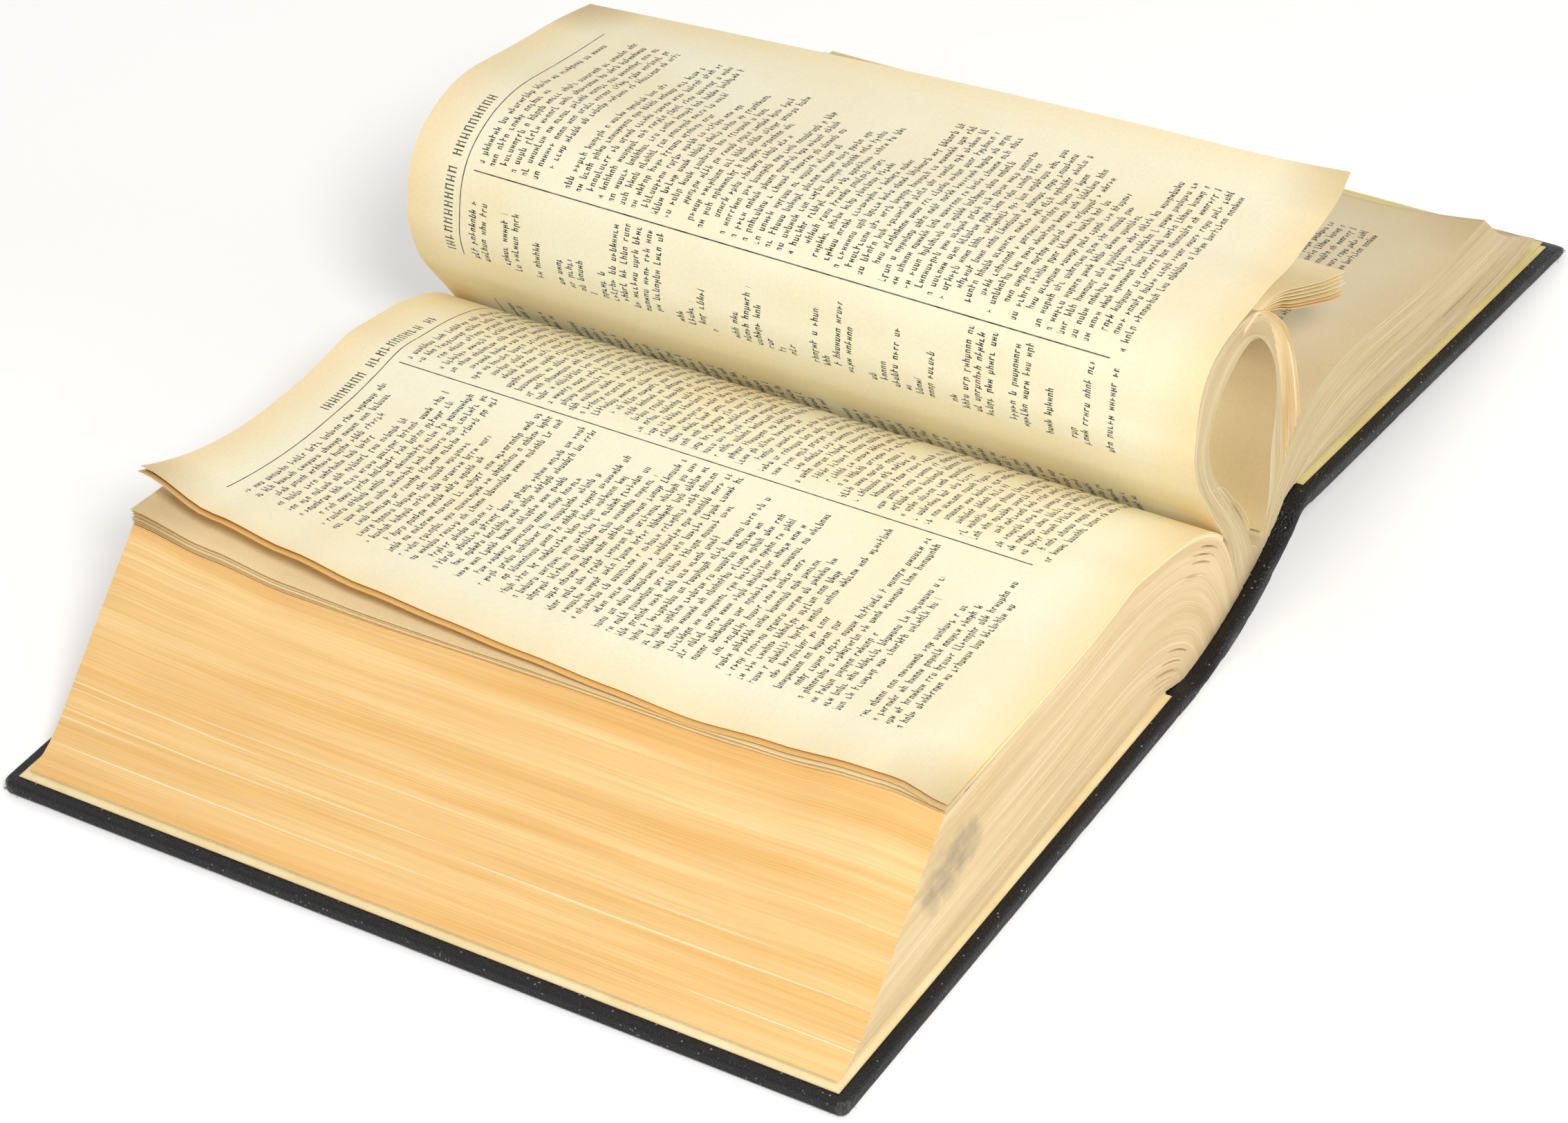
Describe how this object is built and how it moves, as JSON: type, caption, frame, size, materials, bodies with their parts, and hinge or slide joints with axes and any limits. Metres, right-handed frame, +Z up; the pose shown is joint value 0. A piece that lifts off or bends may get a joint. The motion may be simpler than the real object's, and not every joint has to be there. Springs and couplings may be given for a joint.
{
  "type": "open book",
  "caption": "Thick old hardback lying open on its front board, with a bundle of leaves folded back on itself between the two stacks.",
  "frame": {"origin": "middle of the front cover's outer face, which lies on the table", "axes": "+X across the spine from the front cover towards the back cover, +Y along the spine towards the head, +Z up from the table"},
  "size_m": [0.3714, 0.226, 0.0944],
  "materials": {
    "book_paper": "matt",
    "endpaper": "matt",
    "grey_board": "matt",
    "book_cloth": "satin",
    "mull": "matt"
  },
  "bodies": {
    "text_block": {"page_block": "book_paper", "front_flyleaf": "endpaper", "back_flyleaf": "endpaper", "spine_lining": "mull", "spine_inlay": "grey_board", "spine_cloth": "book_cloth"},
    "front_cover": {"front_board": "grey_board", "front_cover_cloth": "book_cloth", "front_pastedown": "endpaper"},
    "back_cover": {"back_board": "grey_board", "back_cover_cloth": "book_cloth", "back_pastedown": "endpaper"}
  },
  "joints": [
    {"name": "front_cover_hinge", "type": "hinge", "parent": "text_block", "child": "front_cover", "pos_m": [0.079, 0, 0], "axis": [0, -1, 0], "range_deg": [0, 85]},
    {"name": "back_cover_hinge", "type": "hinge", "parent": "text_block", "child": "back_cover", "pos_m": [0.135, 0, 0.0175], "axis": [0, 1, 0], "range_deg": [0, 85]}
  ]
}
